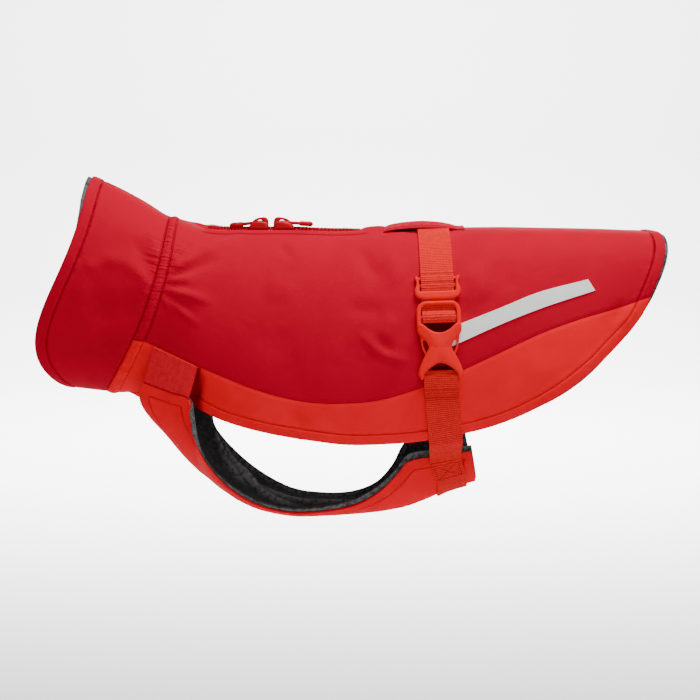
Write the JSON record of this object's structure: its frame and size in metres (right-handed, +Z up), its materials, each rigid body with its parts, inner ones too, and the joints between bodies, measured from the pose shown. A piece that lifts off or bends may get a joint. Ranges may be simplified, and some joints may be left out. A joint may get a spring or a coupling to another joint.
{
  "type": "dog coat",
  "caption": "Softshell dog coat with funnel collar, belly panel on wide elastics, webbing belt with side-release buckles and a zip along the spine.",
  "frame": {"origin": "on the spine at the lowest dip of the back, on the inner face of the lining, where the wearer's back carries the coat", "axes": "+X towards the tail, +Y to the wearer's right, +Z up"},
  "size_m": [0.4965, 0.1748, 0.2744],
  "materials": {
    "crimson_softshell": "smooth woven polyester face of a bonded softshell",
    "orange_softshell": "smooth woven polyester face of a bonded softshell, orange-red",
    "charcoal_fleece": "short brushed fleece",
    "woven_elastic": "ribbed woven elastic",
    "orange_webbing": "ribbed polyester webbing",
    "orange_acetal": "satin moulded acetal",
    "reflective_film": "light grey reflective tape",
    "crimson_zip_tape": "fine woven zip tape",
    "crimson_zip_coil": "nylon coil",
    "red_lacquered_zinc": "lacquered zinc, satin"
  },
  "bodies": {
    "coat": {"back_panel": "crimson_softshell", "side_panel_left": "orange_softshell", "side_panel_right": "orange_softshell", "body_lining": "charcoal_fleece", "collar": "crimson_softshell", "collar_lining": "charcoal_fleece", "neck_channel": "crimson_softshell", "neck_channel_throat_left": "orange_softshell", "neck_channel_throat_right": "orange_softshell", "belly_panel": "orange_softshell", "belly_lining": "charcoal_fleece", "elastic_left": "woven_elastic", "elastic_right": "woven_elastic", "belt_over": "orange_webbing", "belt_under": "orange_webbing", "belt_loop": "crimson_softshell", "triglide_left": "orange_acetal", "triglide_right": "orange_acetal", "buckle_male_left": "orange_acetal", "buckle_male_right": "orange_acetal", "buckle_female_left": "orange_acetal", "buckle_female_right": "orange_acetal", "reflective_left": "reflective_film", "reflective_right": "reflective_film", "zip_tape": "crimson_zip_tape", "zip_coil": "crimson_zip_coil", "slider_front": "red_lacquered_zinc", "slider_rear": "red_lacquered_zinc"},
    "front_pull": {"pull_front": "red_lacquered_zinc"},
    "rear_pull": {"pull_rear": "red_lacquered_zinc"}
  },
  "joints": [
    {"name": "front_pull_lift", "type": "hinge", "parent": "coat", "child": "front_pull", "pos_m": [-0.07241, 0, 0.0109], "axis": [0, 1, 0], "range_deg": [0, 100]},
    {"name": "rear_pull_lift", "type": "hinge", "parent": "coat", "child": "rear_pull", "pos_m": [-0.05437, 0, 0.01093], "axis": [0, -1, 0], "range_deg": [0, 100]}
  ]
}
